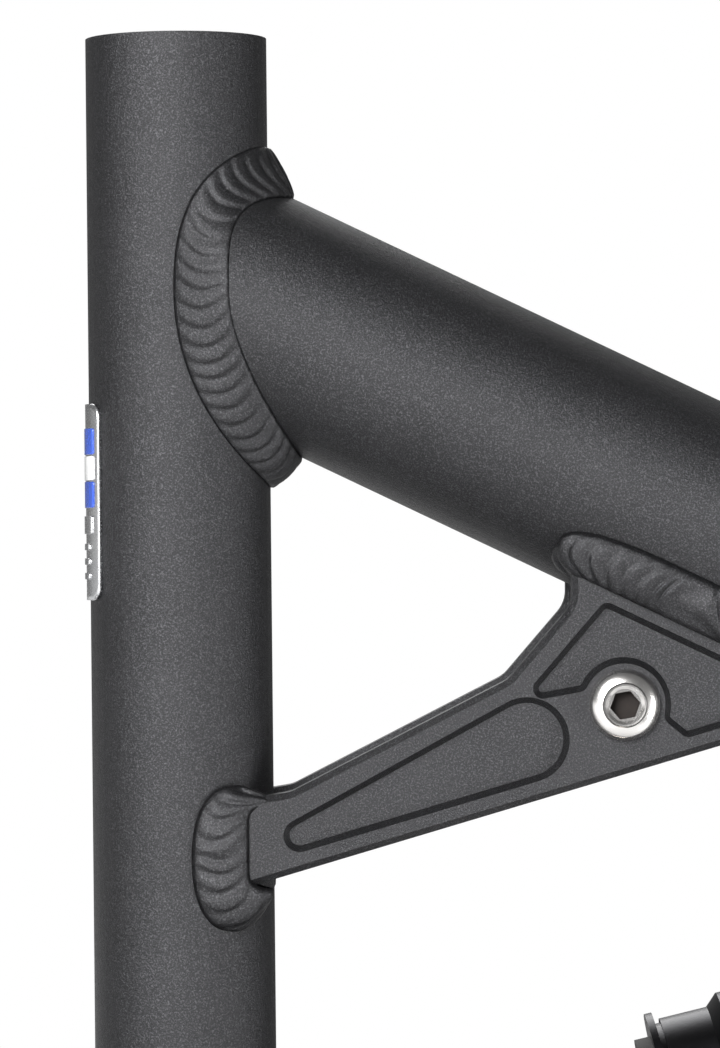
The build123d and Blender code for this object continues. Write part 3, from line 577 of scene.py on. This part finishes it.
class FRAME_OT_weld_beads(bpy.types.Operator):
    """Make the rippled weld beads at the seat tube, gusset, head tube and bottom bracket shell"""

    bl_idname = "bikeframe.weld_beads"
    bl_label = "Weld beads"

    def execute(self, context):
        seat = bead(seat_joint_on_seat, seat_joint_on_top_tube, across=18)
        finish_piece("seat_joint_bead", seat, "black_weld_bead", "front_triangle", "weld_bead",
                     "weld_top_tube_to_seat_tube")
        foot = both_sides(bead(gusset_foot_on_seat, gusset_foot_on_plate, offset=0.3, bulge=2.4))
        finish_piece("gusset_foot_beads", foot, "black_weld_bead", "front_triangle", "weld_bead",
                     "weld_gussets_to_seat_tube")
        crown = both_sides(bead(gusset_crown_on_tube, gusset_crown_on_plate, offset=0.6, bulge=3.2))
        finish_piece("gusset_crown_beads", crown, "black_weld_bead", "front_triangle", "weld_bead",
                     "weld_gussets_to_top_tube")
        joints = {
            "head_tube_upper_bead": (TOP_TUBE_AT_HEAD, TOP_TUBE_CORNER, TOP_TUBE_R, HEAD_DOWN, HEAD_TUBE_R),
            "head_tube_lower_bead": (DOWN_TUBE_AT_HEAD, SHELL_CENTRE, DOWN_TUBE_R, HEAD_DOWN, HEAD_TUBE_R),
            "shell_front_bead": (SHELL_CENTRE, DOWN_TUBE_AT_HEAD, DOWN_TUBE_R, ACROSS, SHELL_R),
            "shell_rear_bead": (SHELL_CENTRE, SEAT_TOP, SEAT_R, ACROSS, SHELL_R),
        }
        replaced = {
            "head_tube_upper_bead": ("weld_head_tube",),
            "shell_front_bead": ("weld_bottom_bracket",),
        }
        for name, joint in joints.items():
            mesh = bead(*tube_joint(*joint), bulge=1.6)
            finish_piece(name, mesh, "black_weld_bead", "front_triangle", "weld_bead",
                         *replaced.get(name, ()))
        return {"FINISHED"}


# ---------------------------------------------------------------- bolts
RIM_EDGE = 0.0003
RIM_TOP = 0.0011
RIM_STEP = 0.0002
DOME_START = 0.0014
DOME_DEGREES = (12, 24, 36, 46, 55)
DOME_FULLNESS = 0.75
DOME_SHARE = 0.97
# The lip round the socket: how far outside the hexagon's corners, and how far above the head's height.
LIP = ((0.0011, 0.00002), (0.0008, 0.0), (0.0002, -0.0005))
SOCKET_SINK = 0.0005
SOCKET_DEPTH = 0.75
SHANK_R = 0.00398
SHANK_EDGE = 0.0005


def domed_bolt(centre, face, far, settings):
    """A button head with a hexagon socket, and its shank, along Y from the face under the head to far."""
    radius, height = settings.head_radius, settings.head_height
    socket = settings.key / 2 / math.cos(math.pi / 6)
    rim = [(radius - RIM_EDGE, 0), (radius, RIM_EDGE), (radius, RIM_TOP), (radius - RIM_STEP, DOME_START)]
    dome = []
    for degrees in DOME_DEGREES:
        angle = math.radians(degrees)
        out = radius * math.cos(angle) ** DOME_FULLNESS * DOME_SHARE
        dome.append((out, DOME_START + (height - DOME_START) * math.sin(angle)))
    lip = [(socket + out, height + up) for out, up in LIP]
    mesh = bmesh.new()
    verts = [mesh.verts.new((out, 0, -up)) for out, up in rim + dome + lip]
    edges = [mesh.edges.new(pair) for pair in zip(verts, verts[1:])]
    bmesh.ops.spin(mesh, geom=verts + edges, cent=(0, 0, 0), axis=(0, 0, 1), angle=2 * math.pi,
                   steps=settings.segments, use_merge=True)
    hexagon = bmesh.ops.create_circle(mesh, cap_ends=False, segments=6, radius=socket,
                                      matrix=Matrix.Translation((0, 0, -(height - SOCKET_SINK))))["verts"]
    ring = list({edge for vert in hexagon for edge in vert.link_edges})
    open_rim = [edge for edge in mesh.edges if edge.is_boundary and edge not in ring
                and edge.verts[0].co.z < -height * 0.6]
    bmesh.ops.bridge_loops(mesh, edges=ring + open_rim)
    wall = bmesh.ops.extrude_edge_only(mesh, edges=ring)["geom"]
    floor = [item for item in wall if isinstance(item, bmesh.types.BMVert)]
    bmesh.ops.translate(mesh, vec=(0, 0, height * SOCKET_DEPTH), verts=floor)
    base = [item for item in wall if isinstance(item, bmesh.types.BMEdge) and item.is_boundary]
    inside = bmesh.ops.contextual_create(mesh, geom=base)["faces"]
    inside += [item for item in wall if isinstance(item, bmesh.types.BMFace)]
    # The socket's walls and floor take the second slot, the painted shade.
    for shaded in inside:
        shaded.material_index = 1
    under = [edge for edge in mesh.edges if edge.is_boundary]
    bmesh.ops.contextual_create(mesh, geom=under)
    length = far - face
    shank = bmesh.ops.create_cone(mesh, cap_ends=True, segments=48, radius1=SHANK_R, radius2=SHANK_R,
                                  depth=length, matrix=Matrix.Translation((0, 0, length / 2)))
    tip = [edge for vert in shank["verts"] for edge in vert.link_edges
           if vert.co.z > length * 0.9 and all(end.co.z > length * 0.9 for end in edge.verts)]
    bmesh.ops.bevel(mesh, geom=list(set(tip)), offset=SHANK_EDGE, affect="EDGES", segments=2, profile=0.5,
                    material=-1)
    bmesh.ops.recalc_face_normals(mesh, faces=mesh.faces)
    turn = Matrix.Rotation(-math.pi / 2, 4, "X")
    place = Matrix.Translation((centre[0], face, centre[1]))
    bmesh.ops.transform(mesh, matrix=place @ turn, verts=mesh.verts)
    return mesh


class FRAME_OT_bolts(bpy.types.Operator):
    """Make the domed bolts of the gusset and the shock"""

    bl_idname = "bikeframe.bolts"
    bl_label = "Domed bolts"

    def execute(self, context):
        places = {
            "gusset_bolt": "front_triangle",
            "front_shock_bolt": "front_triangle",
            "rear_shock_bolt": "swingarm",
        }
        head = context.scene.frame_bolts
        for node, body in places.items():
            low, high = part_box(node)
            centre = ((low[0] + high[0]) / 2, (low[2] + high[2]) / 2)
            mesh = domed_bolt(centre, low[1] + head.head_height, high[1], head)
            piece = finish_piece(f"domed_{node}", mesh, "stainless_steel", body, "stainless", node)
            # The second slot is the painted shade inside the socket.
            piece.data.materials.append(bpy.data.materials["socket_shade"])
            smooth_by_angle(piece)
        return {"FINISHED"}


def smooth_by_angle(piece, limit=math.radians(32)):
    """Marks the sharp edges, so that flats stay flat and curves stay smooth."""
    mesh = bmesh.new()
    mesh.from_mesh(piece.data)
    for edge in mesh.edges:
        if edge.is_manifold and edge.calc_face_angle(0) > limit:
            edge.smooth = False
    mesh.to_mesh(piece.data)
    mesh.free()


# ---------------------------------------------------------------- badge
BADGE_DROP = 89 * MM
BADGE_LIFT = 0.9 * MM
BADGE_SIZE = (20.0 * MM, 37.6 * MM)
BADGE_CORNER = 3 * MM
# How far the plate goes into the tube and stays under the panels' faces, how thick the panels are, and how
# far the bars stand above them.
PLATE_BITE = 0.0001
PLATE_INSET = 0.0002
PANEL_WIDTH = 16.4
PANEL_CORNER = 0.5 * MM
PANEL_DEPTH = 0.0004
BAR_PROUD = 0.0001
# Each panel's name, enamel, height over the badge's middle and height of its own, in millimetres.
PANELS = (
    ("badge_blue_panel_1", "blue_enamel", 11.6, 5.0),
    ("badge_blue_panel_2", "blue_enamel", 1.4, 5.0),
    ("badge_white_panel", "white_enamel", 6.5, 4.6),
)
# Each relief bar's height over the badge's middle, its width and its own height, in millimetres.
RELIEF_BARS = ((-4.4, 15.0, 3.4), (-8.6, 12.0, 1.2), (-11.4, 12.0, 1.2), (-14.2, 12.0, 1.2))


def wrapped_panel(width, height, corner, base, top, lift=0.0):
    """A rounded plate wrapped on the back of the seat tube, from one radius to another."""
    mesh = bmesh.new()
    bmesh.ops.create_grid(mesh, x_segments=28, y_segments=44, size=0.5)
    for vertex in mesh.verts:
        x, y = vertex.co.x * width, vertex.co.y * height
        inset_x, inset_y = width / 2 - corner, height / 2 - corner
        over_x, over_y = abs(x) - inset_x, abs(y) - inset_y
        if over_x > 0 and over_y > 0:
            reach = max(over_x, over_y)
            length = math.hypot(over_x, over_y)
            x = math.copysign(inset_x + over_x / length * reach, x)
            y = math.copysign(inset_y + over_y / length * reach, y)
        vertex.co = (x, y, 0)
    bottom = mesh.faces[:]
    raised = bmesh.ops.extrude_face_region(mesh, geom=bottom)["geom"]
    top_verts = {item for item in raised if isinstance(item, bmesh.types.BMVert)}
    for vertex in mesh.verts:
        radius = top if vertex in top_verts else base
        angle = vertex.co.x / SEAT_R
        out = -SEAT_FORWARD * math.cos(angle) + ACROSS * math.sin(angle)
        vertex.co = SEAT_TOP - SEAT_UP * BADGE_DROP + SEAT_UP * (vertex.co.y + lift) + out * radius
    bmesh.ops.recalc_face_normals(mesh, faces=mesh.faces)
    return mesh


class FRAME_OT_badge(bpy.types.Operator):
    """Make the curved badge on the back of the seat tube, with plain enamel panels"""

    bl_idname = "bikeframe.badge"
    bl_label = "Badge"

    def execute(self, context):
        skin = SEAT_R + BADGE_LIFT
        plate = wrapped_panel(*BADGE_SIZE, BADGE_CORNER, SEAT_R - PLATE_BITE, skin - PLATE_INSET)
        finish_piece("badge_plate", plate, "badge_tin", "front_triangle", "badge_metal", "seat_tube_badge")
        for name, colour, lift, height in PANELS:
            panel = wrapped_panel(PANEL_WIDTH * MM, height * MM, PANEL_CORNER, skin - PANEL_DEPTH, skin,
                                  lift * MM)
            finish_piece(name, panel, colour, "front_triangle", "badge_metal")
        for index, (lift, width, height) in enumerate(RELIEF_BARS):
            bar = wrapped_panel(width * MM, height * MM, PANEL_CORNER, skin - PANEL_DEPTH, skin + BAR_PROUD,
                                lift * MM)
            finish_piece(f"badge_relief_bar_{index + 1}", bar, "badge_tin", "front_triangle", "badge_metal")
        return {"FINISHED"}


# ---------------------------------------------------------------- finishes on the CAD pieces
class FRAME_OT_finishes(bpy.types.Operator):
    """Give every CAD piece the finish of its material slot"""

    bl_idname = "bikeframe.finishes"
    bl_label = "Finishes"

    def execute(self, context):
        made = {slot: build() for slot, build in FINISHES.items()}
        # The painted shade for the bolts' sockets.
        socket_shade("socket_shade")
        enamel("blue_enamel")
        white_enamel("white_enamel")
        for row in frame["record"]["subparts"]:
            dress(frame["nodes"][row["node"]], made[row["material_slot"]])
        return {"FINISHED"}


# ---------------------------------------------------------------- stage
FLOOR_RADIUS = 1.6
FLOOR_GAP = 0.0005
WORLD_LIGHT = 0.17
LENS_MM = 167.5
SENSOR_MM = 36
CAMERA_DISTANCE = 0.94
CAMERA_LEAN = math.radians(0.57)
# The middle of the view, below the seat tube's top and forward of its axis.
VIEW_CENTRE = SEAT_TOP - SEAT_UP * 0.0937 + SEAT_FORWARD * 0.0346
LIGHT_DISTANCE = 1.3
# Each light's name, direction (forward, up and across from the joint), watts, width and height.
LIGHTS = (
    ("key", (-0.35, 0.38, 0.86), 36, 0.70, 0.80),
    ("side", (0.85, -0.20, 0.48), 14, 0.26, 0.8),
    ("back", (-0.2, 0.7, -0.9), 9, 1.0, 0.8),
)


def softbox(name, place, aim, power_w, width, height):
    """A rectangular light at a place, turned to face the aim."""
    light = bpy.data.lights.new(name, "AREA")
    light.shape = "RECTANGLE"
    light.size = width
    light.size_y = height
    light.energy = power_w
    lamp = bpy.data.objects.new(name, light)
    bpy.context.scene.collection.objects.link(lamp)
    lamp.location = place
    lamp.rotation_euler = (Vector(aim) - Vector(place)).to_track_quat("-Z", "Y").to_euler()


def pale_world():
    """A white surround for the camera and a much dimmer one for the light it gives."""
    world = bpy.data.worlds.new("pale_world")
    bpy.context.scene.world = world
    world.use_nodes = True
    nodes, links = world.node_tree.nodes, world.node_tree.links
    surround = nodes["Background"]
    surround.inputs["Color"].default_value = (1, 1, 1, 1)
    surround.inputs["Strength"].default_value = WORLD_LIGHT
    seen = nodes.new("ShaderNodeBackground")
    seen.inputs["Color"].default_value = (1, 1, 1, 1)
    seen.inputs["Strength"].default_value = 1.0
    ray = nodes.new("ShaderNodeLightPath")
    mix = nodes.new("ShaderNodeMixShader")
    links.new(ray.outputs["Is Camera Ray"], mix.inputs[0])
    links.new(surround.outputs[0], mix.inputs[1])
    links.new(seen.outputs[0], mix.inputs[2])
    links.new(mix.outputs[0], nodes["World Output"].inputs["Surface"])


class FRAME_OT_stage(bpy.types.Operator):
    """Set the pale floor, the soft lights and the camera"""

    bl_idname = "bikeframe.stage"
    bl_label = "Stage"

    def execute(self, context):
        low, high = CAD_BOX
        mesh = bmesh.new()
        bmesh.ops.create_circle(mesh, cap_ends=True, segments=128, radius=FLOOR_RADIUS,
                                matrix=Matrix.Translation((0, 0, low[2] - FLOOR_GAP)))
        data = bpy.data.meshes.new("floor")
        mesh.to_mesh(data)
        mesh.free()
        floor = bpy.data.objects.new("floor", data)
        context.scene.collection.objects.link(floor)
        graph = Graph("pale_floor")
        cloud = graph.noise(0.4, 2.0, 0.5)
        tone = graph.blend(cloud, (0.80, 0.80, 0.80), (0.84, 0.84, 0.84))
        floor.data.materials.append(graph.set(Base_Color=tone, Roughness=0.75))
        pale_world()
        for name, (forward, up, across), power_w, width, height in LIGHTS:
            direction = SEAT_FORWARD * forward + SEAT_UP * up + ACROSS * across
            softbox(name, VIEW_CENTRE + direction * LIGHT_DISTANCE, VIEW_CENTRE, power_w, width, height)
        camera = bpy.data.cameras.new("camera")
        camera.lens = LENS_MM
        camera.sensor_width = SENSOR_MM
        camera.clip_start = 0.01
        viewer = bpy.data.objects.new("camera", camera)
        context.scene.collection.objects.link(viewer)
        up = SEAT_UP * math.cos(CAMERA_LEAN) + SEAT_FORWARD * math.sin(CAMERA_LEAN)
        right = SEAT_FORWARD * math.cos(CAMERA_LEAN) - SEAT_UP * math.sin(CAMERA_LEAN)
        turn = Matrix((right, up, ACROSS)).transposed().to_4x4()
        viewer.matrix_world = Matrix.Translation(VIEW_CENTRE + ACROSS * CAMERA_DISTANCE) @ turn
        context.scene.camera = viewer
        context.scene.view_settings.view_transform = "Standard"
        return {"FINISHED"}


class FRAME_PT_panel(bpy.types.Panel):
    """Lists the steps that finish the frame."""

    bl_label = "Bicycle frame"
    bl_idname = "FRAME_PT_panel"
    bl_space_type = "VIEW_3D"
    bl_region_type = "UI"
    bl_category = "Frame"

    def draw(self, context):
        for group in (context.scene.frame_finish, context.scene.frame_welds, context.scene.frame_bolts):
            for name in group.bl_rna.properties.keys():
                if name not in ("rna_type", "name"):
                    self.layout.prop(group, name)
        for step in STEPS:
            self.layout.operator(step.bl_idname)


STEPS = (FRAME_OT_stage, FRAME_OT_finishes, FRAME_OT_weld_beads, FRAME_OT_bolts, FRAME_OT_badge)
CLASSES = (FinishSettings, WeldSettings, BoltSettings, *STEPS, FRAME_PT_panel)


def register():
    for item in CLASSES:
        bpy.utils.register_class(item)
    bpy.types.Scene.frame_finish = PointerProperty(type=FinishSettings)
    bpy.types.Scene.frame_welds = PointerProperty(type=WeldSettings)
    bpy.types.Scene.frame_bolts = PointerProperty(type=BoltSettings)


def unregister():
    del bpy.types.Scene.frame_bolts
    del bpy.types.Scene.frame_welds
    del bpy.types.Scene.frame_finish
    for item in reversed(CLASSES):
        bpy.utils.unregister_class(item)


def main():
    register()
    bpy.ops.bikeframe.stage()
    bpy.ops.bikeframe.finishes()
    bpy.ops.bikeframe.weld_beads()
    bpy.ops.bikeframe.bolts()
    bpy.ops.bikeframe.badge()


if __name__ == "__main__":
    main()
